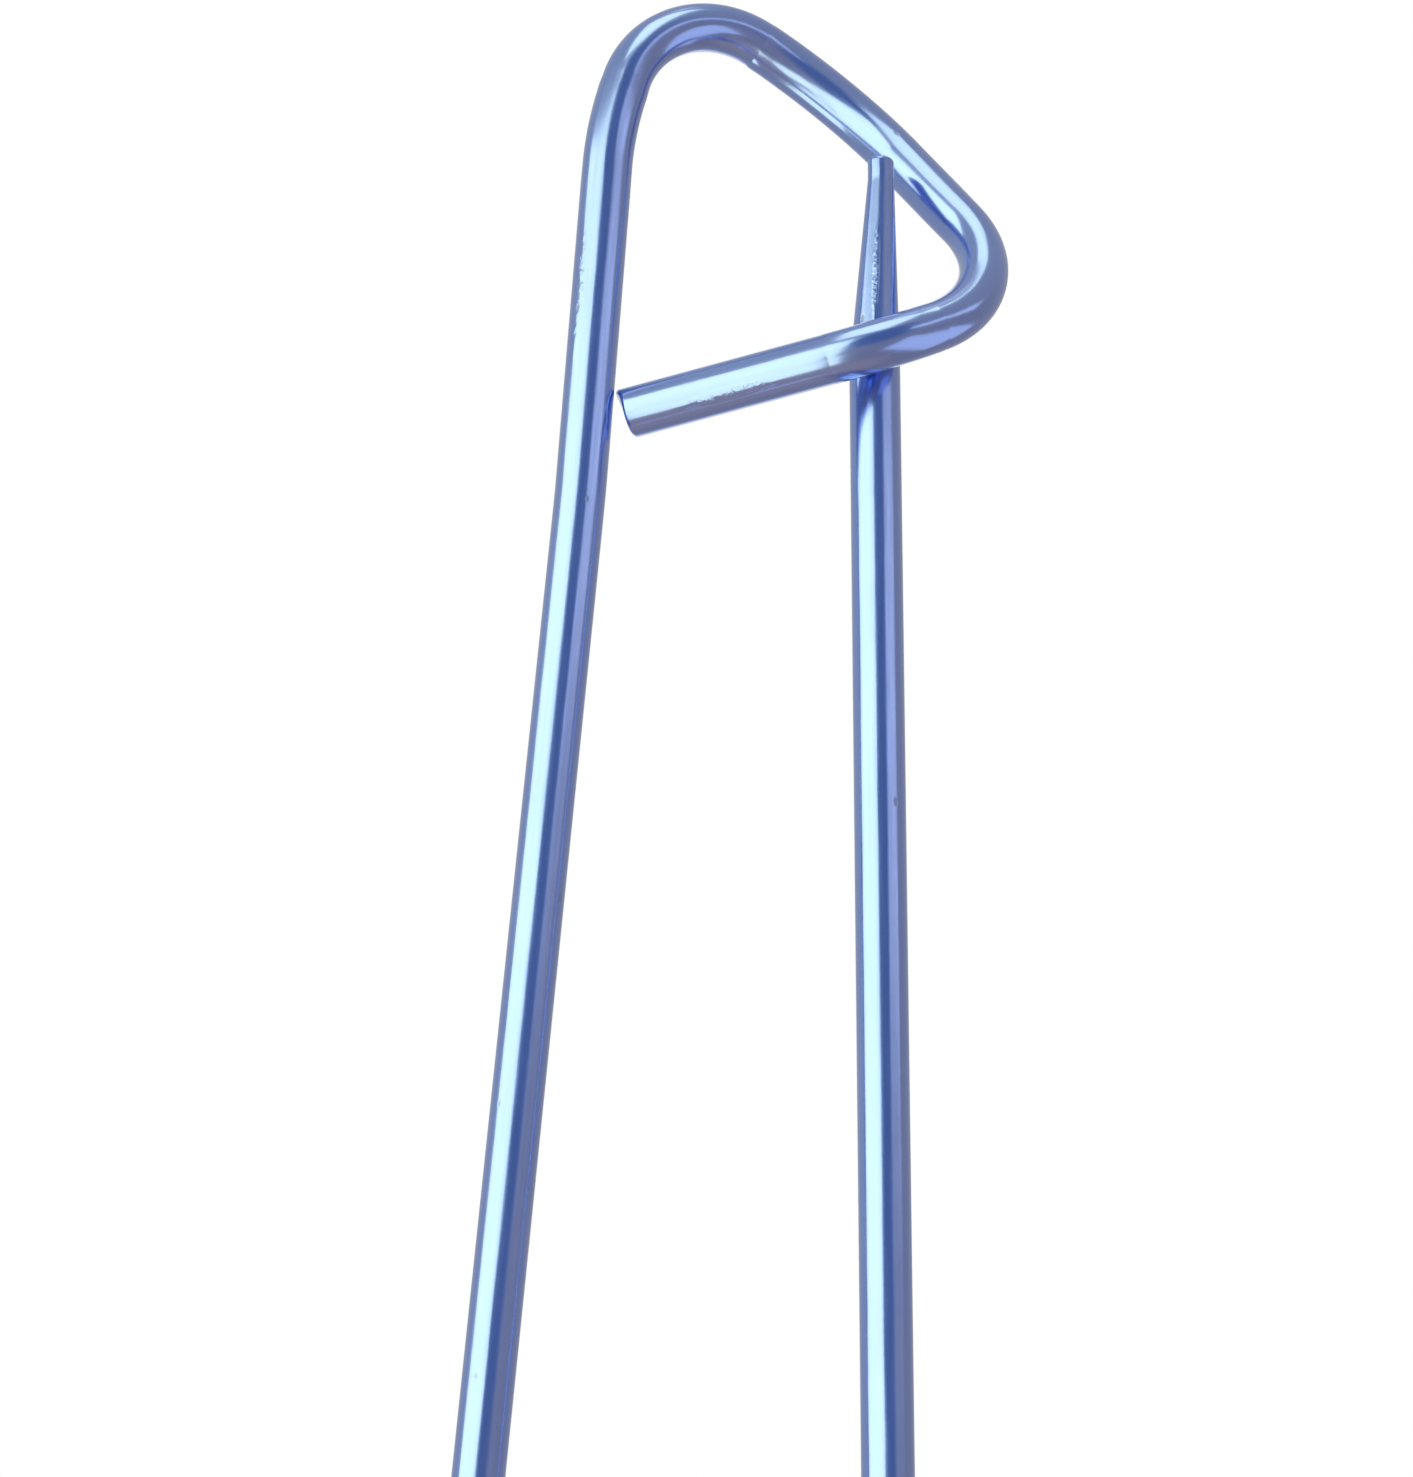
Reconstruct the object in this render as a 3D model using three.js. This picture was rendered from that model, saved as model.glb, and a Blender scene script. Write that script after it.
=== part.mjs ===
// Stitch holder: a large pin bent from one length of round aluminium wire. Stitches slide over its
// blunt needle, which springs shut between two bars of the head.
// Millimetres. +Z runs up towards the head, +X from the frame arm to the needle, and -Y is the
// front, where the keeper bar passes. The origin is the centre of the spring bend.
import * as THREE from 'three';

const radians = THREE.MathUtils.degToRad;

// Driving dimensions of the wire and the two arms
const OVERALL_LENGTH = 160;
const WIRE_DIAMETER = 3;
const SPRING_BEND_RADIUS = 13.7; // to the wire's centreline, as are all bend radii
const ARM_LEAN = radians(2.6); // each arm leans towards the other
const CUT_EDGE = 0.25; // the tumbled edge of a cut end

// Driving dimensions of the head, between the corners of the centreline
const BOW_HEIGHT = 112; // the frame arm's slight bow, above the bend's centre
const ARM_BOW = radians(1.1); // the arm straightens by this much there
const SHOULDER_LENGTH = 10.7; // shoulder corner to crown corner
const SHOULDER_RISE = radians(76.3); // slope of the wire between the two
const CROWN_FALL = radians(26.4); // slope of the wire past the crown bend
const CROWN_RUN = 11.6; // crown corner to catch corner, across
const CORNER_DROP = 20.2; // crown corner to outer corner, down
const CORNER_REACH = 9.3; // needle to outer corner, across
const KEEPER_DROP = 5.4; // outer corner to where the keeper bar crosses the needle, down
const KEEPER_FALL = radians(11.4); // slope of the keeper bar from there to its end
const BOW_RADIUS = 90;
const SHOULDER_RADIUS = 24;
const CROWN_RADIUS = 6;
const CATCH_RADIUS = 14;
const CORNER_RADIUS = 7;
const KEEPER_RADIUS = 8;

// Driving dimensions of the head, from front to back
const CATCH_SETBACK = 4.7; // catch corner behind the arms
const CORNER_SETFORWARD = 0.4; // outer corner in front of the arms
const KEEPER_END_SETBACK = 0.7; // keeper bar's end behind the arms

// Driving dimensions of the needle's point
const TIP_DIAMETER = 1.55;
const POINT_LENGTH = 13.5; // full wire to blunt end
const TIP_STRAIGHT = 1.3; // even stretch below the blunt end
const TIP_SHIFT = 0.5; // the point is drawn off centre, towards the outer corner
const POINT_SHANK = 1.2; // full wire below the taper, behind the keeper bar

// Clearances
const RUNNING_GAP = 0.6; // needle to keeper bar
const END_GAP = 0.8; // keeper bar's end to the frame arm's side
const TIP_GAP = 0.9; // needle's tip below the underside of the catch bar
const FLEX_GAP = 0.3; // between two stretches where the wire flexes

// Fineness of the round surfaces
const WIRE_SIDES = 32;
const BEND_STEP = radians(7);
const EDGE_STEPS = 4;

const wireRadius = WIRE_DIAMETER / 2;
const tipRadius = TIP_DIAMETER / 2;
const backward = new THREE.Vector3(0, 1, 0);
const at = (x, y, z) => new THREE.Vector3(x, y, z);

// Each arm is tangent to the spring bend, a lean's angle above the bend's centre.
const footZ = SPRING_BEND_RADIUS * Math.sin(ARM_LEAN);
const needleX = (z) => SPRING_BEND_RADIUS * Math.cos(ARM_LEAN) - (z - footZ) * Math.tan(ARM_LEAN);
const armX = (z) => -needleX(z);
const needleDirection = at(-Math.sin(ARM_LEAN), 0, Math.cos(ARM_LEAN));

// A bend: an arc from start about centre that sets out along heading.
class Bend extends THREE.Curve {
  constructor(centre, start, heading, turn) {
    super();
    this.centre = centre;
    this.spoke = start.clone().sub(centre);
    this.heading = heading.clone().setLength(this.spoke.length());
    this.turn = turn;
    this.steps = Math.ceil(turn / BEND_STEP);
  }

  getPoint(t) {
    const point = this.centre.clone().addScaledVector(this.spoke, Math.cos(t * this.turn));
    return point.addScaledVector(this.heading, Math.sin(t * this.turn));
  }

  getTangent(t) {
    const tangent = this.heading.clone().multiplyScalar(Math.cos(t * this.turn));
    return tangent.addScaledVector(this.spoke, -Math.sin(t * this.turn)).normalize();
  }
}

class Straight extends THREE.LineCurve3 {
  steps = 1;
}

// Straights and bends laid end to end. Rings stand only where the wire needs them, and all of
// them face +Y alike, so that neighbouring pieces meet corner to corner.
class WireRun extends THREE.Curve {
  constructor(stretches) {
    super();
    this.points = [];
    this.tangents = [];
    for (const stretch of stretches) {
      for (let i = this.points.length ? 1 : 0; i <= stretch.steps; i++) {
        this.points.push(stretch.getPoint(i / stretch.steps));
        this.tangents.push(stretch.getTangent(i / stretch.steps));
      }
    }
  }

  // Close rings before the last one, for a cut end with a round edge.
  addEdgeRings() {
    const end = this.points.pop();
    const tangent = this.tangents.pop();
    for (let i = 0; i <= EDGE_STEPS; i++) {
      const depth = CUT_EDGE * (1 - Math.sin((i / EDGE_STEPS) * (Math.PI / 2)));
      this.points.push(end.clone().addScaledVector(tangent, -depth));
      this.tangents.push(tangent);
    }
  }

  getSpacedPoints() {
    return this.points;
  }

  computeFrenetFrames() {
    const normals = this.tangents.map((tangent) => backward.clone().cross(tangent).normalize());
    const binormals = this.tangents.map((tangent, i) => tangent.clone().cross(normals[i]));
    return { tangents: this.tangents, normals, binormals };
  }
}

function sweptWire(run) {
  const section = new THREE.Shape().absarc(0, 0, wireRadius, 0, 2 * Math.PI);
  return new THREE.ExtrudeGeometry(section, {
    curveSegments: WIRE_SIDES / 2,
    steps: run.points.length - 1,
    extrudePath: run,
  });
}

function wire(...stretches) {
  return sweptWire(new WireRun(stretches));
}

// Wire with a cut end: the rim of its last rings is drawn in to a round edge.
function wireWithCutEnd(...stretches) {
  const run = new WireRun(stretches);
  run.addEdgeRings();
  const geometry = sweptWire(run);
  const end = run.points.at(-1);
  const outward = run.tangents.at(-1);
  const position = geometry.getAttribute('position');
  const vertex = at(0, 0, 0);
  for (let i = 0; i < position.count; i++) {
    vertex.fromBufferAttribute(position, i).sub(end);
    const depth = -vertex.dot(outward);
    if (depth < CUT_EDGE) {
      const drawnIn = CUT_EDGE - Math.sqrt(CUT_EDGE ** 2 - (CUT_EDGE - Math.max(depth, 0)) ** 2);
      vertex.addScaledVector(outward, depth).multiplyScalar(1 - drawnIn / wireRadius);
      vertex.addScaledVector(outward, -depth).add(end);
      position.setXYZ(i, vertex.x, vertex.y, vertex.z);
    }
  }
  return geometry;
}

// Rounds each corner of a route between its two ends. Where two bends crowd a leg, both take
// the largest share of it that fits.
function roundedRoute(corners, radii) {
  const legs = corners.slice(1).map((corner, i) => corner.clone().sub(corners[i]));
  const halves = radii.map((_, i) => (Math.PI - legs[i].angleTo(legs[i + 1])) / 2);
  const wanted = [0, ...radii.map((radius, i) => radius / Math.tan(halves[i])), 0];
  const room = legs.map((leg, i) => Math.min(1, (0.98 * leg.length()) / (wanted[i] + wanted[i + 1])));
  const stretches = [];
  let from = corners[0];
  halves.forEach((half, i) => {
    const corner = corners[i + 1];
    const back = legs[i].clone().normalize().negate();
    const ahead = legs[i + 1].clone().normalize();
    const setback = wanted[i + 1] * Math.min(room[i], room[i + 1]);
    const start = corner.clone().addScaledVector(back, setback);
    const centre = corner.clone().addScaledVector(back.clone().add(ahead).normalize(), setback / Math.cos(half));
    const bend = new Bend(centre, start, back.negate(), Math.PI - 2 * half);
    stretches.push(new Straight(from, start), bend);
    from = bend.getPoint(1);
  });
  stretches.push(new Straight(from, corners.at(-1)));
  return stretches;
}

// The spring bend: one half on each side of its lowest point, where it flexes.
function springBendHalf(side) {
  const foot = at(side * needleX(footZ), 0, footZ);
  const downward = at(side * Math.sin(ARM_LEAN), 0, -Math.cos(ARM_LEAN));
  const halfGap = FLEX_GAP / 2 / SPRING_BEND_RADIUS;
  return new Bend(at(0, 0, 0), foot, downward, Math.PI / 2 + ARM_LEAN - halfGap);
}

// The crown corner stands where the rounded crown just reaches the overall length.
const crownTop = OVERALL_LENGTH - SPRING_BEND_RADIUS - WIRE_DIAMETER;
const crownHalf = (Math.PI - SHOULDER_RISE - CROWN_FALL) / 2;
const crownTilt = (SHOULDER_RISE - CROWN_FALL) / 2;
const crownZ = crownTop + CROWN_RADIUS * (Math.cos(crownTilt) / Math.sin(crownHalf) - 1);
const shoulderZ = crownZ - SHOULDER_LENGTH * Math.sin(SHOULDER_RISE);
const bowCorner = at(armX(BOW_HEIGHT), 0, BOW_HEIGHT);
const shoulderX = bowCorner.x + (shoulderZ - BOW_HEIGHT) * Math.tan(ARM_LEAN - ARM_BOW);
const crownX = shoulderX + SHOULDER_LENGTH * Math.cos(SHOULDER_RISE);
const catchZ = crownZ - CROWN_RUN * Math.tan(CROWN_FALL);
const catchCorner = at(crownX + CROWN_RUN, CATCH_SETBACK, catchZ);
const cornerZ = crownZ - CORNER_DROP;
const outerCorner = at(needleX(cornerZ) + CORNER_REACH, -CORNER_SETFORWARD, cornerZ);

// The keeper bar clears the needle in front, also where its bend rounds the corner off.
const keeperZ = cornerZ - KEEPER_DROP;
const keeperSpan = needleX(keeperZ) - armX(keeperZ);
const keeperOffset = WIRE_DIAMETER + RUNNING_GAP;
const keeperTurn =
  Math.atan((keeperOffset - CORNER_SETFORWARD) / CORNER_REACH) +
  Math.atan((keeperOffset + KEEPER_END_SETBACK) / keeperSpan);
const keeperSag = KEEPER_RADIUS * (1 / Math.cos(keeperTurn / 2) - 1);
const keeperCorner = at(needleX(keeperZ), -keeperOffset - keeperSag, keeperZ);
const endRun =
  (keeperSpan - wireRadius - END_GAP) / (1 - Math.tan(KEEPER_FALL) * Math.tan(ARM_LEAN));
const keeperEnd = at(
  keeperCorner.x - endRun,
  KEEPER_END_SETBACK,
  keeperZ - endRun * Math.tan(KEEPER_FALL),
);

// The head: up the frame arm, over the shoulder and crown, down behind the needle's tip, round
// the outer corner and back in front of the needle to the frame arm.
const route = roundedRoute(
  [
    at(armX(footZ), 0, footZ),
    bowCorner,
    at(shoulderX, 0, shoulderZ),
    at(crownX, 0, crownZ),
    catchCorner,
    outerCorner,
    keeperCorner,
    keeperEnd,
  ],
  [BOW_RADIUS, SHOULDER_RADIUS, CROWN_RADIUS, CATCH_RADIUS, CORNER_RADIUS, KEEPER_RADIUS],
);
const frameArm = route.slice(0, 3);
const crownBend = route.slice(3, 6);
const catchBar = route.slice(6, 9);
const cornerBend = route.slice(9, 10);
const keeperBar = route.slice(10);

// The needle ends just below the catch bar where the two cross.
const catchFall = (catchCorner.z - outerCorner.z) / (outerCorner.x - catchCorner.x);
const catchUnderside = (x) =>
  catchCorner.z - (x - catchCorner.x) * catchFall - wireRadius * Math.hypot(1, catchFall);
const tipZ = catchUnderside(needleX(catchUnderside(needleX(cornerZ))) + TIP_SHIFT) - TIP_GAP;
const needleTip = at(needleX(tipZ), 0, tipZ);
const pointFoot = needleTip.clone().addScaledVector(needleDirection, -POINT_LENGTH - POINT_SHANK);
const needleFoot = at(needleX(footZ), 0, footZ).addScaledVector(needleDirection, FLEX_GAP);

// The point: turned to a taper and a blunt end, then drawn sideways as it thins.
function needlePoint() {
  const height = POINT_SHANK + POINT_LENGTH;
  const profile = [new THREE.Vector2(0, 0), new THREE.Vector2(wireRadius, 0)];
  profile.push(new THREE.Vector2(wireRadius, POINT_SHANK));
  profile.push(new THREE.Vector2(tipRadius, height - TIP_STRAIGHT));
  for (let i = 0; i <= EDGE_STEPS; i++) {
    const angle = (i / EDGE_STEPS) * (Math.PI / 2);
    const radius = tipRadius - CUT_EDGE * (1 - Math.cos(angle));
    profile.push(new THREE.Vector2(radius, height - CUT_EDGE * (1 - Math.sin(angle))));
  }
  profile.push(new THREE.Vector2(0, height));
  const geometry = new THREE.LatheGeometry(profile, WIRE_SIDES);
  const position = geometry.getAttribute('position');
  for (let i = 0; i < position.count; i++) {
    const taper = (position.getY(i) - POINT_SHANK) / (POINT_LENGTH - TIP_STRAIGHT);
    position.setX(i, position.getX(i) + TIP_SHIFT * THREE.MathUtils.clamp(taper, 0, 1));
  }
  geometry.applyMatrix4(new THREE.Matrix4().makeRotationX(Math.PI / 2));
  return geometry;
}

const anodisedBlue = new THREE.Color(0x4f74c4);

function piece(name, geometry) {
  const material = new THREE.MeshStandardMaterial({ color: anodisedBlue, roughness: 0.2, metalness: 1 });
  const mesh = new THREE.Mesh(geometry, material);
  mesh.name = name;
  return mesh;
}

const stitchHolder = new THREE.Group();
stitchHolder.add(
  piece('spring_bend_frame_side', wire(springBendHalf(-1))),
  piece('frame_arm', wire(...frameArm)),
  piece('crown_bend', wire(...crownBend)),
  piece('catch_bar', wire(...catchBar)),
  piece('corner_bend', wire(...cornerBend)),
  piece('keeper_bar', wireWithCutEnd(...keeperBar)),
  piece('spring_bend_needle_side', wire(springBendHalf(1))),
  piece('needle_arm', wire(new Straight(needleFoot, pointFoot))),
);

const pointPiece = piece('needle_point', needlePoint());
pointPiece.position.copy(pointFoot);
pointPiece.rotation.y = -ARM_LEAN;
stitchHolder.add(pointPiece);

export default stitchHolder;
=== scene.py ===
# %% [markdown]
# # A stitch holder in bright blue wire
# A stitch holder is a large pin that keeps knitting stitches safe. This one is a single length of
# round aluminium wire. It was drawn to 3 mm, cut, thinned at one end, bent over pins in a
# jig, and then anodised blue. In this lesson we build that wire as one clean swept surface, give
# it an anodised finish, and light it as a polished thing is lit: with large soft lamps, because a
# mirror shows nothing but what stands around it.

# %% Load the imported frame
import math

import bmesh
import bpy
import numpy as np
from mathutils import Matrix, Vector


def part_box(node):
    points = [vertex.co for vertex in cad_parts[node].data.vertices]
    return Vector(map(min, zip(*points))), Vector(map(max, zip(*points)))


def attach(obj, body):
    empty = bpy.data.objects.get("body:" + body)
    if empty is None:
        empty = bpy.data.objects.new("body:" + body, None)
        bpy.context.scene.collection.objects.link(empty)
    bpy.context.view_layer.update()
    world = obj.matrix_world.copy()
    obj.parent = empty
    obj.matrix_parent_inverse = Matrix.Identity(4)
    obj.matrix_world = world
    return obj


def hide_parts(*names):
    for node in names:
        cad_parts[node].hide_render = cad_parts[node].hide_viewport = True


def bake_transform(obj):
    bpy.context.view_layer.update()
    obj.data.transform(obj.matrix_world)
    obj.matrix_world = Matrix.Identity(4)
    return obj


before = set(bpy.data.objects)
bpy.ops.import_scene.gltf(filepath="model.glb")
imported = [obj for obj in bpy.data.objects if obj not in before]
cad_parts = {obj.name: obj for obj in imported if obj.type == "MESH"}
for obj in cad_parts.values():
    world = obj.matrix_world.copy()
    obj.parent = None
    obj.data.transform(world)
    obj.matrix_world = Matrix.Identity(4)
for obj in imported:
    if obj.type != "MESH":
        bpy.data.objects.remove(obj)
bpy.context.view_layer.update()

# %% [markdown]
# ## Units and colours
# The frame is in metres, and a wire form is easiest to think of in millimetres, so every size
# below is in millimetres and one constant turns it to metres at the end. Colours are written
# as sRGB hex, which is what a colour picker shows. Blender's shaders want linear light, so one
# function does the turning.

# %% Units and colours
MM = 0.001


def linear(hex_colour):
    """An sRGB hex colour as linear red, green, blue and alpha."""
    channels = [int(hex_colour[i : i + 2], 16) / 255 for i in (1, 3, 5)]
    bent = [c / 12.92 if c <= 0.04045 else ((c + 0.055) / 1.055) ** 2.4 for c in channels]
    return (*bent, 1.0)


print("mid grey is", round(linear("#808080")[0], 3), "in linear light")

# %% [markdown]
# ## The sizes of the wire
# These are the sizes that a wire bender would work from: the wire, the spring bend at the bottom,
# the lean of the two arms, and where the corners of the head would be if every bend were sharp.
# They are the same as the frame's own.

# %% The wire, its two arms and its spring bend
OVERALL_LENGTH = 160
WIRE_RADIUS = 1.5
SPRING_BEND_RADIUS = 13.7
ARM_LEAN = math.radians(2.6)
CUT_EDGE = 0.25  # how far the rims of the two cut ends are rounded

foot_z = SPRING_BEND_RADIUS * math.sin(ARM_LEAN)


def needle_x(z):
    return SPRING_BEND_RADIUS * math.cos(ARM_LEAN) - (z - foot_z) * math.tan(ARM_LEAN)


def arm_x(z):
    return -needle_x(z)


print("the arms are", round(2 * needle_x(foot_z), 1), "mm apart at the bottom")

# %% [markdown]
# ## The corners of the head
# The head leaves the plane of the arms. It climbs over the shoulder and the crown, falls behind
# the needle's tip, turns the outer corner, and comes back in front of the needle. We write each
# corner down as a point, as if the wire turned there sharply. Rounding comes after, and this way
# one corner can be moved without touching the others.

# %% Corners of the head
BOW_HEIGHT = 112
ARM_BOW = math.radians(1.1)
SHOULDER_LENGTH = 10.7
SHOULDER_RISE = math.radians(76.3)
CROWN_FALL = math.radians(26.4)
CROWN_RUN = 11.6
CORNER_DROP = 20.2
CORNER_REACH = 9.3
KEEPER_DROP = 5.4
KEEPER_FALL = math.radians(11.4)
CATCH_SETBACK = 4.7
CORNER_SETFORWARD = 0.4
KEEPER_END_SETBACK = 0.7
RUNNING_GAP = 0.6  # between the needle and the keeper bar in front of it
END_GAP = 0.8  # between the keeper bar's end and the frame arm
BOW_RADIUS = 90
SHOULDER_RADIUS = 24
CROWN_RADIUS = 6
CATCH_RADIUS = 14
CORNER_RADIUS = 7
KEEPER_RADIUS = 8

crown_top = OVERALL_LENGTH - SPRING_BEND_RADIUS - 2 * WIRE_RADIUS
crown_half = (math.pi - SHOULDER_RISE - CROWN_FALL) / 2
crown_tilt = (SHOULDER_RISE - CROWN_FALL) / 2
crown_z = crown_top + CROWN_RADIUS * (math.cos(crown_tilt) / math.sin(crown_half) - 1)
shoulder_z = crown_z - SHOULDER_LENGTH * math.sin(SHOULDER_RISE)
shoulder_x = arm_x(BOW_HEIGHT) + (shoulder_z - BOW_HEIGHT) * math.tan(ARM_LEAN - ARM_BOW)
crown_x = shoulder_x + SHOULDER_LENGTH * math.cos(SHOULDER_RISE)
catch_z = crown_z - CROWN_RUN * math.tan(CROWN_FALL)
catch_corner = Vector((crown_x + CROWN_RUN, CATCH_SETBACK, catch_z))
corner_z = crown_z - CORNER_DROP
outer_corner = Vector((needle_x(corner_z) + CORNER_REACH, -CORNER_SETFORWARD, corner_z))

keeper_z = corner_z - KEEPER_DROP
keeper_span = needle_x(keeper_z) - arm_x(keeper_z)
keeper_offset = 2 * WIRE_RADIUS + RUNNING_GAP
turn_in = math.atan((keeper_offset - CORNER_SETFORWARD) / CORNER_REACH)
turn_out = math.atan((keeper_offset + KEEPER_END_SETBACK) / keeper_span)
keeper_turn = turn_in + turn_out
keeper_sag = KEEPER_RADIUS * (1 / math.cos(keeper_turn / 2) - 1)
keeper_corner = Vector((needle_x(keeper_z), -keeper_offset - keeper_sag, keeper_z))
end_room = keeper_span - WIRE_RADIUS - END_GAP
end_run = end_room / (1 - math.tan(KEEPER_FALL) * math.tan(ARM_LEAN))
end_z = keeper_z - end_run * math.tan(KEEPER_FALL)
keeper_end = Vector((keeper_corner.x - end_run, KEEPER_END_SETBACK, end_z))
print("outer corner", [round(x, 1) for x in outer_corner])
print("keeper end", [round(x, 1) for x in keeper_end])

# %% [markdown]
# ## Bending the wire
# Wire bent round a pin takes an arc that is tangent to the straights on both sides. A Bezier
# curve with a bevel would be quicker to draw, but its handles only come near an arc, and a mirror
# finish shows every such error as a wobble in its highlights. So we work out true arcs and
# lay rings along them: one for every degree of a bend, and one for every 1.5 mm of straight wire.
# Each ring keeps the direction in which the wire bends there, which is needed for the next step.

# %% Rounding a route of corners
STRAIGHT_STEP = 1.5
BEND_STEP = math.radians(1.0)
BEND_SHARE = 0.98  # of a leg's length, at most, for the bends at its two ends


def straight(start, end):
    """Stations along a straight: (point, tangent, pull towards the inside of a bend)."""
    steps = max(1, math.ceil((end - start).length / STRAIGHT_STEP))
    tangent = (end - start).normalized()
    return [(start.lerp(end, i / steps), tangent, Vector()) for i in range(steps + 1)]


def bend(centre, start, heading, turn):
    """Stations round an arc about centre that sets out from start along heading."""
    spoke = start - centre
    side = heading.normalized() * spoke.length
    steps = math.ceil(turn / BEND_STEP)
    stations = []
    for i in range(steps + 1):
        angle = turn * i / steps
        outward = spoke * math.cos(angle) + side * math.sin(angle)
        tangent = (side * math.cos(angle) - spoke * math.sin(angle)).normalized()
        stations.append((centre + outward, tangent, -outward / spoke.length_squared))
    return stations


def rounded(corners, radii):
    """Stations along a route of corners, each rounded by its radius. Crowded bends give way."""
    legs = [b - a for a, b in zip(corners, corners[1:])]
    halves = [(math.pi - a.angle(b)) / 2 for a, b in zip(legs, legs[1:])]
    wanted = [0, *(radius / math.tan(half) for radius, half in zip(radii, halves)), 0]
    room = [
        min(1, BEND_SHARE * leg.length / (wanted[i] + wanted[i + 1])) for i, leg in enumerate(legs)
    ]
    stations, position = [], corners[0]
    for i, half in enumerate(halves):
        back, ahead = -legs[i].normalized(), legs[i + 1].normalized()
        setback = wanted[i + 1] * min(room[i], room[i + 1])
        start = corners[i + 1] + back * setback
        centre = corners[i + 1] + (back + ahead).normalized() * (setback / math.cos(half))
        stations += straight(position, start)[:-1]
        stations += bend(centre, start, -back, math.pi - 2 * half)[:-1]
        position = corners[i + 1] + ahead * setback
    return stations + straight(position, corners[-1])


head = rounded(
    [
        Vector((arm_x(foot_z), 0, foot_z)),
        Vector((arm_x(BOW_HEIGHT), 0, BOW_HEIGHT)),
        Vector((shoulder_x, 0, shoulder_z)),
        Vector((crown_x, 0, crown_z)),
        catch_corner,
        outer_corner,
        keeper_corner,
        keeper_end,
    ],
    [BOW_RADIUS, SHOULDER_RADIUS, CROWN_RADIUS, CATCH_RADIUS, CORNER_RADIUS, KEEPER_RADIUS],
)
print("frame arm and head:", len(head), "stations")

# %% [markdown]
# ## The spring bend and the needle
# The spring bend is a half circle and a little more, because the two arms lean together. The
# needle is straight. Its point stops just below the catch bar, and the frame says how high that
# is, so we read it there instead of working it out again.

# %% The spring bend and the needle
needle_foot = Vector((needle_x(foot_z), 0, foot_z))
needle_direction = Vector((-math.sin(ARM_LEAN), 0, math.cos(ARM_LEAN)))
needle_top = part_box("needle_point")[1].z / MM
needle_length = (needle_top - foot_z) / needle_direction.z
needle_tip = needle_foot + needle_direction * needle_length

spring_bend = bend(Vector(), needle_foot, -needle_direction, math.pi + 2 * ARM_LEAN)
needle = straight(needle_tip, needle_foot)
print("needle", round(needle_length, 1), "mm long")

# %% [markdown]
# ## One wire, three pieces
# The real wire bends as a whole when the arms are squeezed, so a piece that stays stiff up to a
# hinge would break the surface there. We cut the wire into three pieces where nothing bends, an
# eighth of a turn into the spring bend from each arm.

# %% The three stretches
QUARTER = len(spring_bend) // 4

wire = needle[:-1] + spring_bend[:-1] + head
cut_needle = len(needle) - 1 + QUARTER
cut_frame = len(needle) - 1 + len(spring_bend) - 1 - QUARTER
step_lengths = [(b[0] - a[0]).length for a, b in zip(wire, wire[1:])]
lengths = np.concatenate([[0], np.cumsum(step_lengths)])
print("the wire is", round(float(lengths[-1])), "mm long, cut at", wire[cut_needle][0].to_tuple(1))

# %% [markdown]
# ## The section along the wire
# Most of the wire is round, and four things change it. The point is turned down to half the
# thickness and ends blunt. Both cut ends were tumbled, so their rims are round. Wire that is
# bent round a pin flattens a little against it: it gets thinner across the bend and wider
# beside it. That is slight, yet it is what makes highlights pinch in a bend.
# Last, cutting the wire off drew the upper edge of the keeper's end out into a small lip.

# %% The section along the wire
TIP_RADIUS = 0.775
POINT_LENGTH = 13.5
TIP_STRAIGHT = 1.3
TIP_SHIFT = 0.5
FLATTENING = 0.16  # how much thinner the wire gets, for each radius of wire per radius of bend
WIDENING = 0.35  # the share of that by which it gets wider beside the bend
LIP_REACH = 0.55
LIP_LENGTH = 2.0
SIDES = 64


def smooth(x):
    x = min(1.0, max(0.0, x))
    return x * x * (3 - 2 * x)


def section(length):
    """Radius of the wire, and how far the point is drawn aside, at a length from the tip."""
    to_end = min(length, lengths[-1] - length)
    taper = min(1.0, max(0.0, (POINT_LENGTH - length) / (POINT_LENGTH - TIP_STRAIGHT)))
    radius = WIRE_RADIUS + (TIP_RADIUS - WIRE_RADIUS) * taper
    if to_end < CUT_EDGE:
        radius -= CUT_EDGE - math.sqrt(CUT_EDGE**2 - (CUT_EDGE - to_end) ** 2)
    return radius, TIP_SHIFT * taper


def cut_lip(length):
    """How far the top of the wire is drawn out along it, which is only at the keeper's end."""
    return LIP_REACH * smooth(1 - (lengths[-1] - length) / LIP_LENGTH)


print("at 5 mm from the tip the wire is", round(2 * section(5)[0], 2), "mm thick")

# %% [markdown]
# ## Sweeping the surface
# Each station gets a ring of 64 points. The rings all face backwards alike, so the surface never
# twists, and the pieces share the same ring where they meet. Rings stand closer at the ends, for
# the round rim. Every point also remembers where it was on the straight wire, before any
# bending. The finish uses that place, so that drawing marks run along the wire.

# %% Sweep a stretch of the wire
BACKWARD = Vector((0, 1, 0))
UPWARD = Vector((0, 0, 1))
RIM_STEPS = 8
TAPER_STEPS = 30
SHARP_ANGLE = math.radians(35)  # a steeper edge than this stays crisp


def ring_lengths(first, last):
    """Lengths at which rings stand between two stations, with more of them round a cut end."""
    places = list(lengths[first : last + 1])
    taper = np.linspace(TIP_STRAIGHT, POINT_LENGTH, TAPER_STEPS)
    rim = [CUT_EDGE * (1 - math.cos(math.pi / 2 * i / RIM_STEPS)) for i in range(RIM_STEPS + 1)]
    if first == 0:
        places = sorted({*rim, *taper, *(x for x in places if x > POINT_LENGTH)})
    if last == len(wire) - 1:
        end = lengths[-1]
        places = [x for x in places if x < end - CUT_EDGE] + [end - x for x in reversed(rim)]
    return places


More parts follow.
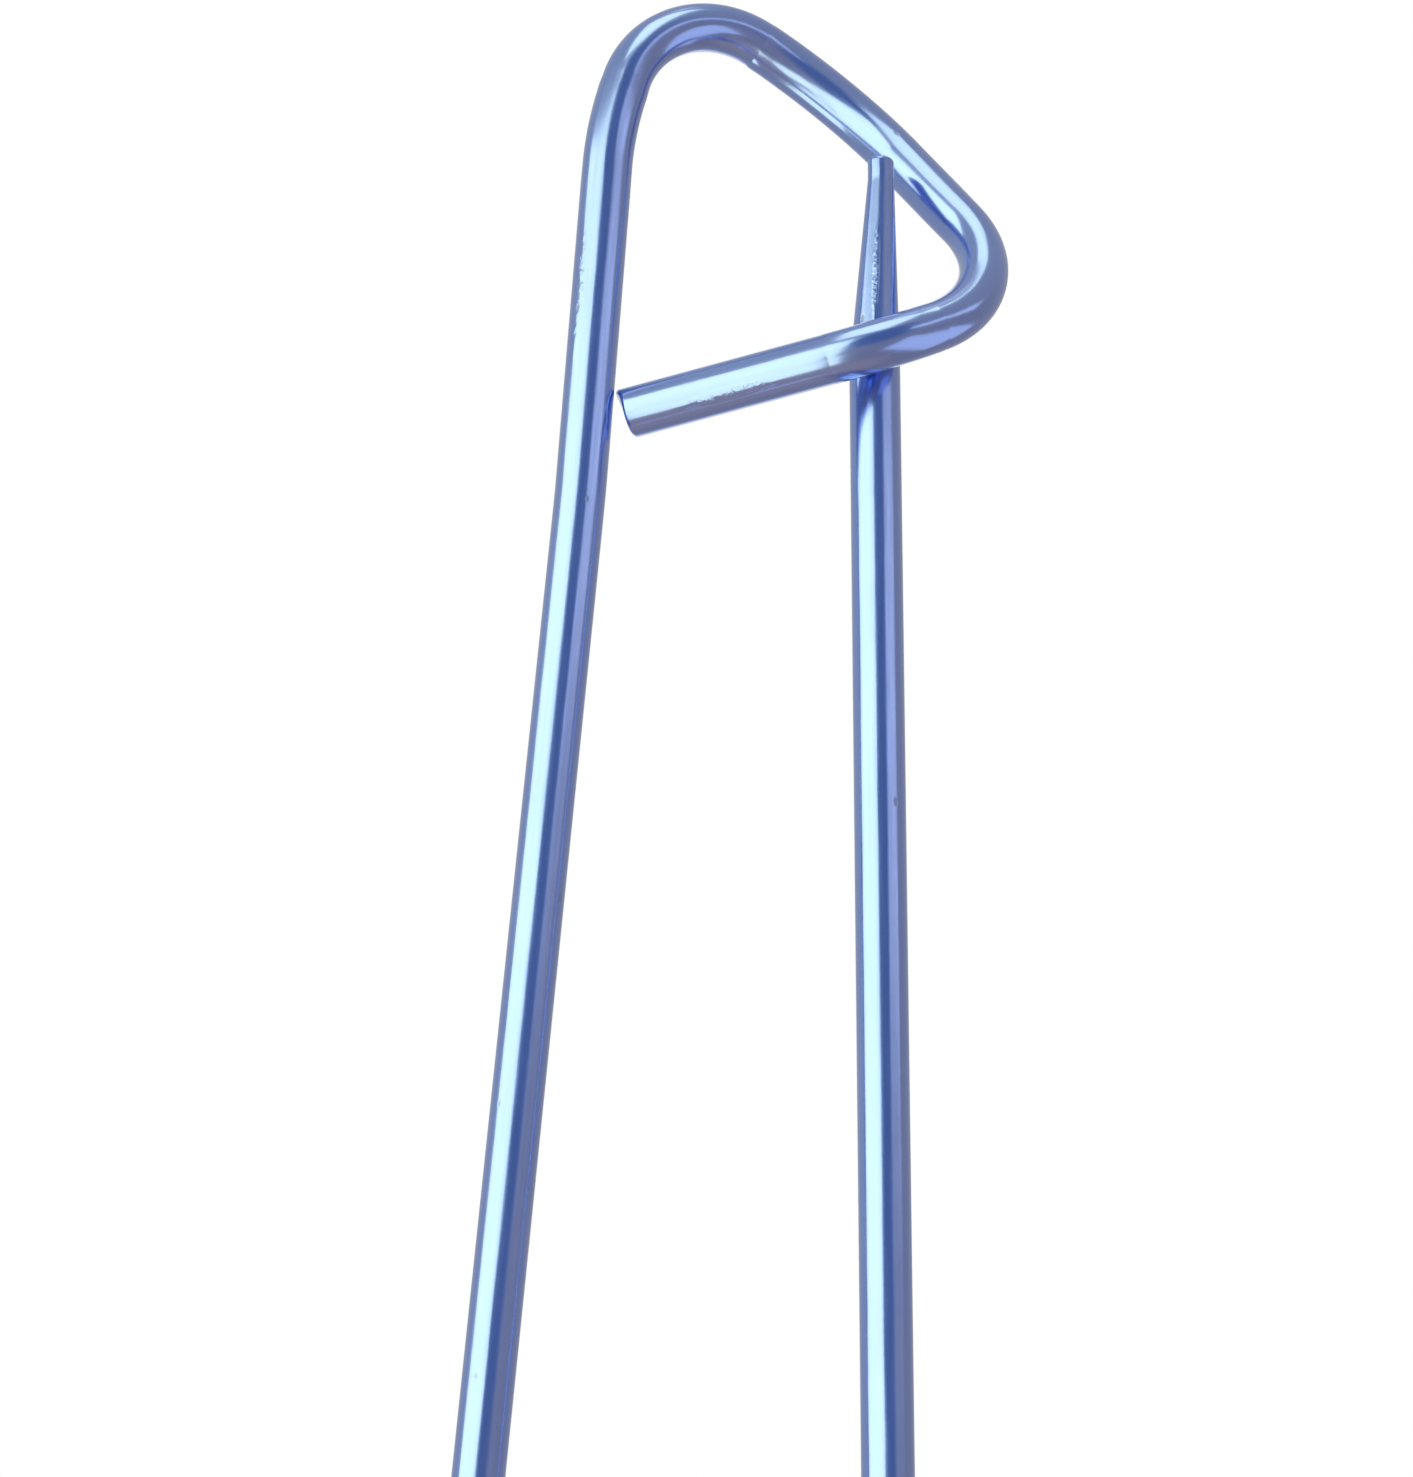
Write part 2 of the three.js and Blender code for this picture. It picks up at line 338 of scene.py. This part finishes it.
def station_at(length):
    """Point, tangent and bend between the two nearest stations."""
    i = min(len(wire) - 2, max(0, int(np.searchsorted(lengths, length, side="right")) - 1))
    span = lengths[i + 1] - lengths[i]
    share = (length - lengths[i]) / span if span else 0
    a, b = wire[i], wire[i + 1]
    return a[0].lerp(b[0], share), a[1].lerp(b[1], share).normalized(), a[2].lerp(b[2], share)


def sweep(name, first, last):
    """A closed mesh of the wire between two stations."""
    mesh = bmesh.new()
    straight_place = mesh.verts.layers.float_vector.new("straight")
    rings = []
    for length in ring_lengths(first, last):
        point, tangent, pull = station_at(length)
        across = BACKWARD.cross(tangent).normalized()
        behind = tangent.cross(across)
        radius, shift = section(length)
        flat = FLATTENING * pull.length * radius
        inward = pull.normalized()
        centre = point - across * shift
        lip = cut_lip(length)
        ring = []
        for k in range(SIDES):
            angle = 2 * math.pi * k / SIDES
            spoke = across * math.cos(angle) + behind * math.sin(angle)
            towards = spoke.dot(inward)
            reach = radius * (1 + flat * (WIDENING - towards * towards))
            drawn_out = lip * max(0, spoke.dot(UPWARD)) ** 2
            vertex = mesh.verts.new((centre + spoke * reach + tangent * drawn_out) * MM)
            vertex[straight_place] = (radius * math.cos(angle), radius * math.sin(angle), length)
            ring.append(vertex)
        rings.append(ring)
    for a, b in zip(rings, rings[1:]):
        for k in range(SIDES):
            mesh.faces.new((a[k], a[(k + 1) % SIDES], b[(k + 1) % SIDES], b[k]))
    mesh.faces.new(rings[0][::-1])
    mesh.faces.new(rings[-1])
    bmesh.ops.recalc_face_normals(mesh, faces=mesh.faces)
    data = bpy.data.meshes.new(name)
    mesh.to_mesh(data)
    mesh.free()
    data.shade_smooth()
    data.set_sharp_from_angle(angle=SHARP_ANGLE)
    piece = bpy.data.objects.new(name, data)
    bpy.context.scene.collection.objects.link(piece)
    print(name, len(rings), "rings,", len(data.polygons), "faces")
    return piece


needle_wire = sweep("needle_wire", 0, cut_needle)
bend_wire = sweep("bend_wire", cut_needle, cut_frame)
frame_wire = sweep("frame_wire", cut_frame, len(wire) - 1)
WIRES = (needle_wire, bend_wire, frame_wire)

# %% [markdown]
# ## The wire and the frame
# The wire replaces the frame's faceted solids, so it has to lie where they lie.

# %% [markdown]
# ## A helper for shader nodes
# A finish is a graph of nodes. This one function adds a node, sets what is given for it, and
# links the sockets that are given as links, so that each line below reads as one box in the
# shader editor.


# %% Add one node with its settings and links
def add(tree, kind, settings=None, **inputs):
    """A new node. Inputs are values, or sockets of other nodes; a space in a name is written _."""
    node = tree.nodes.new(kind)
    for key, value in (settings or {}).items():
        setattr(node, key, value)
    for key, value in inputs.items():
        by_place = key[0] == "i" and key[1:].isdigit()
        socket = node.inputs[int(key[1:])] if by_place else node.inputs[key.replace("_", " ")]
        if isinstance(value, bpy.types.NodeSocket):
            tree.links.new(value, socket)
        else:
            socket.default_value = value
    return node


# %% [markdown]
# ## The finish: bright anodised aluminium
# Anodising grows a hard, clear film of aluminium oxide on the bare metal, about a hundredth of a
# millimetre thick. The film takes up dye, so light crosses the blue twice: once going in to
# the metal and once coming back. The eye sees a coloured mirror under a thin clear gloss. We
# make that from a metal with a blue base colour and a coat on top for the film.
#
# The wire was drawn through a die before it was bent. That leaves faint lines along it, a
# tenth of a millimetre apart, and the bright dip before anodising melts them soft and leaves the
# surface slightly uneven over a few millimetres. Handling adds small nicks. We draw all three in
# the space of the straight wire, and stretch each one along it.

# %% Bright anodised aluminium
DRAW_LINE_SPACING = 0.16  # drawn a little coarser than real, so that it shows
DRAW_LINE_SQUEEZE = (1.0, 1.0, 0.03)  # the last number stretches the pattern along the wire
UNEVENNESS_LENGTH = 3.0
UNEVENNESS_SQUEEZE = (1.0, 1.0, 0.35)
NICK_SPACING = 2.6
NICK_SQUEEZE = (1.0, 1.0, 0.55)
NICK_HEART, NICK_RIM = 0.03, 0.075  # in shares of that spacing
TIMES = {"operation": "MULTIPLY"}
SOFT = {"interpolation_type": "SMOOTHSTEP"}

anodised = bpy.data.materials.new("bright anodised aluminium")
anodised.use_nodes = True
tree = anodised.node_tree
tree.nodes.clear()

place = add(tree, "ShaderNodeAttribute", {"attribute_name": "straight"}).outputs["Vector"]
line_place = add(tree, "ShaderNodeVectorMath", TIMES, i0=place, i1=DRAW_LINE_SQUEEZE)
draw_lines = add(
    tree,
    "ShaderNodeTexNoise",
    Vector=line_place.outputs[0],
    Scale=1 / DRAW_LINE_SPACING,
    Detail=2.0,
)
dip_place = add(tree, "ShaderNodeVectorMath", TIMES, i0=place, i1=UNEVENNESS_SQUEEZE)
dip = add(
    tree,
    "ShaderNodeTexNoise",
    Vector=dip_place.outputs[0],
    Scale=1 / UNEVENNESS_LENGTH,
    Detail=3.0,
)
nick_place = add(tree, "ShaderNodeVectorMath", TIMES, i0=place, i1=NICK_SQUEEZE)
nick_cells = add(
    tree,
    "ShaderNodeTexVoronoi",
    Vector=nick_place.outputs[0],
    Scale=1 / NICK_SPACING,
)
nicks = add(
    tree,
    "ShaderNodeMapRange",
    SOFT,
    Value=nick_cells.outputs["Distance"],
    From_Min=NICK_HEART,
    From_Max=NICK_RIM,
    To_Min=1.0,
    To_Max=0.0,
)
print("finish so far:", len(tree.nodes), "nodes")

# %% [markdown]
# The three patterns now go to work. The unevenness and the lines tilt the surface through a
# bump, by microns only. The dye takes unevenly too, so the blue is a touch deeper where the film
# is thicker. A nick has gone through the film, so it is rougher and shows duller metal. Three
# places take most knocks: the front of the keeper bar, the frame arm beside it, and the point.
# Each has a few millimetres of small chips, which only show where a stripe's edge crosses them.
# A chipped place is given on the straight wire: across it, behind it, and along it.

# %% Colour and roughness
BLUE_DYE = "#95aeee"
DEEP_DYE = "#8ba4e6"
WORN = "#8796c0"
LINE_LOW, LINE_HIGH = 0.3, 0.7  # between these the noise of the lines does most of its work
SMOOTHEST, ROUGHEST = 0.17, 0.25
NICK_ROUGHNESS = 0.25  # added to the roughness round it
MIX_COLOURS = {"data_type": "RGBA"}

tone = add(
    tree,
    "ShaderNodeMix",
    MIX_COLOURS,
    Factor=dip.outputs[0],
    A=linear(BLUE_DYE),
    B=linear(DEEP_DYE),
)
colour = add(
    tree,
    "ShaderNodeMix",
    MIX_COLOURS,
    Factor=nicks.outputs[0],
    A=tone.outputs["Result"],
    B=linear(WORN),
)
roughness = add(
    tree,
    "ShaderNodeMapRange",
    Value=draw_lines.outputs[0],
    From_Min=LINE_LOW,
    From_Max=LINE_HIGH,
    To_Min=SMOOTHEST,
    To_Max=ROUGHEST,
)
worn_rough = add(
    tree,
    "ShaderNodeMath",
    {"operation": "MULTIPLY_ADD"},
    i0=nicks.outputs[0],
    i1=NICK_ROUGHNESS,
    i2=roughness.outputs[0],
)
print("roughness from", SMOOTHEST, "to", ROUGHEST, "and", NICK_ROUGHNESS, "more in a nick")

# %% Unevenness, lines, nicks and chips
UNEVENNESS_DEPTH = 0.03 * MM
LINE_DEPTH = 0.0018 * MM
NICK_DEPTH = 0.01 * MM
CHIP_LENGTH = 0.5
CHIP_DEPTH = 0.06 * MM
CHIPS_FULL = 0.6  # the share of a chipped place's reach within which the chips are deepest
KNOCKED = [
    ((-0.96, -1.15, lengths[-1] - 6.4), (0.45, 0.45, 3.6)),  # the lower front of the keeper bar
    ((-1.04, -1.08, lengths[-1] - 73.0), (0.4, 0.4, 5.0)),  # the left front of the frame arm
    ((0.14, -1.2, 7.5), (0.25, 0.4, 4.5)),  # the front of the needle's point
]

chip_noise = add(
    tree,
    "ShaderNodeTexNoise",
    Vector=place,
    Scale=1 / CHIP_LENGTH,
    Detail=2.0,
)
relief = [
    (UNEVENNESS_DEPTH, False, dip.outputs[0]),
    (LINE_DEPTH, False, draw_lines.outputs[0]),
    (NICK_DEPTH, True, nicks.outputs[0]),
]
for knocked_place, knocked_reach in KNOCKED:
    from_knock = add(
        tree,
        "ShaderNodeVectorMath",
        {"operation": "SUBTRACT"},
        i0=place,
        i1=knocked_place,
    )
    in_reaches = add(
        tree,
        "ShaderNodeVectorMath",
        {"operation": "DIVIDE"},
        i0=from_knock.outputs[0],
        i1=knocked_reach,
    )
    away = add(tree, "ShaderNodeVectorMath", {"operation": "LENGTH"}, i0=in_reaches.outputs[0])
    knock = add(
        tree,
        "ShaderNodeMapRange",
        SOFT,
        Value=away.outputs["Value"],
        From_Min=1.0,
        From_Max=CHIPS_FULL,
    )
    chips = add(tree, "ShaderNodeMath", TIMES, i0=knock.outputs[0], i1=chip_noise.outputs[0])
    relief.append((CHIP_DEPTH, False, chips.outputs[0]))

normal = add(tree, "ShaderNodeNewGeometry").outputs["Normal"]
for depth, sunk, height in relief:
    bump = add(
        tree,
        "ShaderNodeBump",
        {"invert": sunk},
        Strength=1.0,
        Distance=depth,
        Height=height,
        Normal=normal,
    )
    normal = bump.outputs[0]
print("relief:", len(relief), "layers, the deepest", round(CHIP_DEPTH / MM, 3), "mm")

# %% The metal and its clear film
FILM_WEIGHT = 0.6
FILM_ROUGHNESS = 0.08
FILM_IOR = 1.6  # of aluminium oxide, sealed

surface = add(
    tree,
    "ShaderNodeBsdfPrincipled",
    Base_Color=colour.outputs["Result"],
    Metallic=1.0,
    Roughness=worn_rough.outputs[0],
    Normal=normal,
    Coat_Weight=FILM_WEIGHT,
    Coat_Roughness=FILM_ROUGHNESS,
    Coat_IOR=FILM_IOR,
)
add(tree, "ShaderNodeOutputMaterial", Surface=surface.outputs[0])
for piece in WIRES:
    piece.data.materials.append(anodised)
print("finish:", len(tree.nodes), "nodes on", len(bpy.data.materials), "materials")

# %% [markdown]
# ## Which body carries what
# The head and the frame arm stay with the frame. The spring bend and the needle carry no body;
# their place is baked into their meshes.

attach(frame_wire, "frame")
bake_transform(bend_wire)
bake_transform(needle_wire)
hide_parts("frame_arm", "crown_bend", "catch_bar", "corner_bend", "keeper_bar")
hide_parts("spring_bend_frame_side", "spring_bend_needle_side")
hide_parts("needle_arm", "needle_point")
print("every CAD node is replaced")

# %% [markdown]
# ## The room
# The holder hangs in the air above a wide pale floor. The floor is lit like everything else, and
# further out it fades to the plain white that the camera sees behind the object.

# %% Floor
FLOOR_Z = -1.1
FLOOR_RADIUS = 5.0
FLOOR_SIDES = 96
FADE_FROM, FADE_TO = 0.6, 2.2
PAPER = "#e6e6e6"
WHITE = "#ffffff"

floor_mesh = bmesh.new()
bmesh.ops.create_circle(floor_mesh, cap_ends=True, segments=FLOOR_SIDES, radius=FLOOR_RADIUS)
floor_data = bpy.data.meshes.new("floor")
floor_mesh.to_mesh(floor_data)
floor_mesh.free()
floor = bpy.data.objects.new("floor", floor_data)
floor.location.z = FLOOR_Z
bpy.context.scene.collection.objects.link(floor)

paper = bpy.data.materials.new("white paper sweep")
paper.use_nodes = True
tree = paper.node_tree
tree.nodes.clear()
position = add(tree, "ShaderNodeNewGeometry").outputs["Position"]
distance = add(tree, "ShaderNodeVectorMath", {"operation": "LENGTH"}, i0=position)
far = add(
    tree,
    "ShaderNodeMapRange",
    SOFT,
    Value=distance.outputs["Value"],
    From_Min=FADE_FROM - FLOOR_Z,
    From_Max=FADE_TO - FLOOR_Z,
)
path = add(tree, "ShaderNodeLightPath").outputs
fade = add(tree, "ShaderNodeMath", TIMES, i0=far.outputs[0], i1=path["Is Camera Ray"])
matt = add(tree, "ShaderNodeBsdfDiffuse", Color=linear(PAPER))
white = add(tree, "ShaderNodeEmission", Color=linear(WHITE), Strength=1.0)
mixed = add(
    tree,
    "ShaderNodeMixShader",
    i0=fade.outputs[0],
    i1=matt.outputs[0],
    i2=white.outputs[0],
)
add(tree, "ShaderNodeOutputMaterial", Surface=mixed.outputs[0])
floor_data.materials.append(paper)
print("floor at", FLOOR_Z, "m")

# %% [markdown]
# ## The world
# Behind the object is plain white, at strength 1, for the camera and for what the metal mirrors.
# What lights matt surfaces is a little weaker, so that the floor isn't burnt out.

# %% World
AMBIENT = 0.8
EITHER = {"operation": "MAXIMUM"}

world = bpy.data.worlds.new("white surroundings")
bpy.context.scene.world = world
world.use_nodes = True
tree = world.node_tree
tree.nodes.clear()
path = add(tree, "ShaderNodeLightPath").outputs
seen = add(tree, "ShaderNodeMath", EITHER, i0=path["Is Camera Ray"], i1=path["Is Glossy Ray"])
shown = add(tree, "ShaderNodeMath", EITHER, i0=seen.outputs[0], i1=path["Is Transmission Ray"])
ambient = add(tree, "ShaderNodeBackground", Color=linear(WHITE), Strength=AMBIENT)
backdrop = add(tree, "ShaderNodeBackground", Color=linear(WHITE), Strength=1.0)
mixed = add(
    tree,
    "ShaderNodeMixShader",
    i0=shown.outputs[0],
    i1=ambient.outputs[0],
    i2=backdrop.outputs[0],
)
add(tree, "ShaderNodeOutputWorld", Surface=mixed.outputs[0])
print("world:", len(tree.nodes), "nodes")

# %% [markdown]
# ## The painted room
# A polished wire is a curved mirror. Across its width it shows almost the whole room, squeezed
# into a few stripes, so those stripes are made by what stands around it. Photographers of cutlery
# and glass work the same way. A white room alone would give a flat, pale wire. We hang a screen
# all around that glows with a painted reflection of a grey room, dark beside the lamps, and leave
# it open at the back, where the white background is. Only the metal sees it, and it lights
# nothing.
# Places are written as directions from the object: azimuth to the right of the camera, and
# elevation above the horizon.

# %% The screen of painted reflections
MIDDLE = Vector((0, 0, 0.1))
SCREEN_DISTANCE = 1.15
BACK_OPENING = 14  # degrees each side of straight behind
OPENING_LOW, OPENING_HIGH = -20, 50
SCREEN_STEP = 5
SCREEN_TOP = 85  # the last ring of the screen, just short of straight up or down


def direction(azimuth, elevation):
    """The unit direction from the object, in degrees. Azimuth 0 is towards the camera."""
    a, e = math.radians(azimuth), math.radians(elevation)
    return Vector((math.sin(a) * math.cos(e), -math.cos(a) * math.cos(e), math.sin(e)))


def in_opening(azimuth, elevation):
    return abs(azimuth) > 180 - BACK_OPENING and OPENING_LOW < elevation < OPENING_HIGH


screen_mesh = bmesh.new()
knots = {
    (a, e): screen_mesh.verts.new(MIDDLE + direction(a, e) * SCREEN_DISTANCE)
    for a in range(-180, 180, SCREEN_STEP)
    for e in range(-SCREEN_TOP, SCREEN_TOP + 1, SCREEN_STEP)
}
for a in range(-180, 180, SCREEN_STEP):
    following = -180 if a + SCREEN_STEP == 180 else a + SCREEN_STEP
    for e in range(-SCREEN_TOP, SCREEN_TOP, SCREEN_STEP):
        above = e + SCREEN_STEP
        if not in_opening(a + SCREEN_STEP / 2, e + SCREEN_STEP / 2):
            around = [(a, e), (following, e), (following, above), (a, above)]
            screen_mesh.faces.new([knots[knot] for knot in around])
screen_data = bpy.data.meshes.new("painted_reflection_screen")
screen_mesh.to_mesh(screen_data)
screen_mesh.free()
screen = bpy.data.objects.new("painted_reflection_screen", screen_data)
bpy.context.scene.collection.objects.link(screen)
# seen only in the metal's reflections, so its glow is a painted reflection and lights nothing
screen.visible_camera = screen.visible_diffuse = False
screen.visible_shadow = screen.visible_transmission = False
print("dark screen:", len(screen_data.polygons), "faces")

# %% [markdown]
# The screen's painted reflection isn't the same grey all round. It is lightest high up on the
# left, a painted light where most of the light comes from, and darker and warmer low on the right.
# Right below the object it paints the reflection of a warm table top. Straight ahead it paints the
# camera's reflection, a darker and bluer place. All of these are given by direction from the
# object, and each one is mixed over those before it.

# %% Painted reflection colours
# painted reflections of the room around the metal: dark grey all round, a lighter lit side, a
# table below and the camera ahead
DARK_ROOM_REFLECTION = "#a39594"
PAINTED_LIT_SIDE = "#bdc1c2"
PAINTED_TABLE_REFLECTION = "#c6aea2"
PAINTED_CAMERA_REFLECTION = "#6c80a0"
LIT_SIDE_DIRECTION = Vector((-0.66, 0.17, 0.73))
TABLE_FROM, TABLE_TO = -0.72, -0.95  # how far down its edge starts and ends, -1 is straight down
CAMERA_SIDE = direction(8, 18)
CAMERA_PLACE = 32  # degrees from its middle to where the dark place has ended
TOWARDS = {"operation": "DOT_PRODUCT"}

painted_reflection_material = bpy.data.materials.new("dark screen of painted reflections")
painted_reflection_material.use_nodes = True
tree = painted_reflection_material.node_tree
tree.nodes.clear()
position = add(tree, "ShaderNodeNewGeometry").outputs["Position"]
from_middle = add(
    tree,
    "ShaderNodeVectorMath",
    {"operation": "SUBTRACT"},
    i0=position,
    i1=MIDDLE,
)
outward = add(
    tree,
    "ShaderNodeVectorMath",
    {"operation": "NORMALIZE"},
    i0=from_middle.outputs[0],
).outputs[0]
# painted light: the screen glows lighter towards where most of the light comes from
towards_lit_side = add(tree, "ShaderNodeVectorMath", TOWARDS, i0=outward, i1=LIT_SIDE_DIRECTION)
light_share = add(
    tree,
    "ShaderNodeMapRange",
    Value=towards_lit_side.outputs["Value"],
    From_Min=-1.0,
    From_Max=1.0,
)
upness = add(tree, "ShaderNodeSeparateXYZ", Vector=outward)
# painted reflection of a warm table top right below the object
table_share = add(
    tree,
    "ShaderNodeMapRange",
    SOFT,
    Value=upness.outputs["Z"],
    From_Min=TABLE_FROM,
    From_Max=TABLE_TO,
)
# painted reflection of the camera's side: darker and bluer straight ahead
ahead = add(tree, "ShaderNodeVectorMath", TOWARDS, i0=outward, i1=CAMERA_SIDE)
camera_share = add(
    tree,
    "ShaderNodeMapRange",
    SOFT,
    Value=ahead.outputs["Value"],
    From_Min=math.cos(math.radians(CAMERA_PLACE)),
    From_Max=math.cos(math.radians(CAMERA_PLACE / 2)),
)
reflected_room = linear(DARK_ROOM_REFLECTION)
for share, hue in (
    (light_share, PAINTED_LIT_SIDE),
    (table_share, PAINTED_TABLE_REFLECTION),
    (camera_share, PAINTED_CAMERA_REFLECTION),
):
    reflected_room = add(
        tree,
        "ShaderNodeMix",
        MIX_COLOURS,
        Factor=share.outputs[0],
        A=reflected_room,
        B=linear(hue),
    ).outputs["Result"]
# the painted reflections glow at strength 1; no lamp lights this screen
reflection_glow = add(tree, "ShaderNodeEmission", Color=reflected_room, Strength=1.0)
add(tree, "ShaderNodeOutputMaterial", Surface=reflection_glow.outputs[0])
screen_data.materials.append(painted_reflection_material)
print("screen of painted reflections:", len(tree.nodes), "nodes")

# %% [markdown]
# ## Lamps
# Large soft lamps stand inside the screen. Three panels side by side on the left act as one big
# one, and draw the broad pale stripe down the needle and the frame arm. Their light is a little
# short of blue, which turns the stripe from blue to a pale cyan. Three low ones carry on below
# them for the keeper bar and the corner, and one overhead lights the shoulder and the top of the
# crown. Two weak ones on the right draw the narrow blue stripes and the patch on the crown. Each
# is given by where it stands and how wide and high it looks from the object, in degrees. They
# stand edge to edge and never overlap, because a mirror would show the sum of two.

# %% Softboxes
LAMP_DISTANCE = 0.7
PALE_YELLOW = "#fbffcf"
PALE_BLUE = "#ebf6ff"


def softbox(name, azimuth, elevation, wide, high, radiance, hue):
    """A soft flat lamp that faces the object. Radiance is what a mirror would show of it."""
    data = bpy.data.lights.new(name, "AREA")
    data.shape = "RECTANGLE"
    data.size = 2 * LAMP_DISTANCE * math.tan(math.radians(wide / 2))
    data.size_y = 2 * LAMP_DISTANCE * math.tan(math.radians(high / 2))
    data.energy = radiance * math.pi * data.size * data.size_y
    data.color = linear(hue)[:3]
    lamp = bpy.data.objects.new(name, data)
    lamp.location = MIDDLE + direction(azimuth, elevation) * LAMP_DISTANCE
    lamp.rotation_euler = (lamp.location - MIDDLE).to_track_quat("Z", "Y").to_euler()
    lamp.visible_camera = False
    bpy.context.scene.collection.objects.link(lamp)
    print(name, round(data.energy, 1), "W")


softbox("left_softbox_1", -76, 4, 25, 58, 1.9, PALE_YELLOW)
softbox("left_softbox_2", -51, 4, 25, 58, 1.9, PALE_YELLOW)
softbox("left_softbox_3", -26, 4, 25, 58, 1.9, PALE_YELLOW)
softbox("low_left_softbox", -84, -40, 50, 28, 1.8, PALE_YELLOW)
softbox("low_middle_softbox", -43, -31.5, 14, 13, 1.8, PALE_YELLOW)
softbox("low_front_softbox", -21, -41.5, 21, 33, 1.9, PALE_YELLOW)
softbox("overhead_softbox", -12, 62, 30, 36, 1.6, PALE_YELLOW)
softbox("right_softbox", 54, 24.4, 42, 8, 0.76, WHITE)
softbox("low_right_softbox", 76, -25, 72, 34, 0.68, PALE_BLUE)

# %% [markdown]
# ## The camera
# The picture was taken with a long lens from a little below, looking up at the head, with the
# holder tipped slightly. We place the camera with those angles, so the bars of the head cross
# where they do in the picture.

# %% Camera
LOOK_UP = math.radians(22)
ROLL = math.radians(2.65)
TARGET = Vector((-0.63, 0, 96.93)) * MM
CAMERA_DISTANCE = 430 * MM
FOCAL_LENGTH = 182.3
SENSOR_WIDTH = 36

forward = Vector((0, math.cos(LOOK_UP), math.sin(LOOK_UP)))
level_up = Vector((0, -math.sin(LOOK_UP), math.cos(LOOK_UP)))
right = Vector((math.cos(ROLL), 0, 0)) + level_up * math.sin(ROLL)
up = Vector((-math.sin(ROLL), 0, 0)) + level_up * math.cos(ROLL)
lens = bpy.data.cameras.new("camera")
lens.lens = FOCAL_LENGTH
lens.sensor_width = SENSOR_WIDTH
lens.clip_start, lens.clip_end = 0.01, 20
camera = bpy.data.objects.new("camera", lens)
turned = Matrix((right, up, -forward)).transposed()
camera.matrix_world = Matrix.Translation(TARGET - forward * CAMERA_DISTANCE) @ turned.to_4x4()
bpy.context.scene.collection.objects.link(camera)
bpy.context.scene.camera = camera
bpy.context.scene.view_settings.view_transform = "Standard"
print("camera at", [round(x, 3) for x in camera.location])
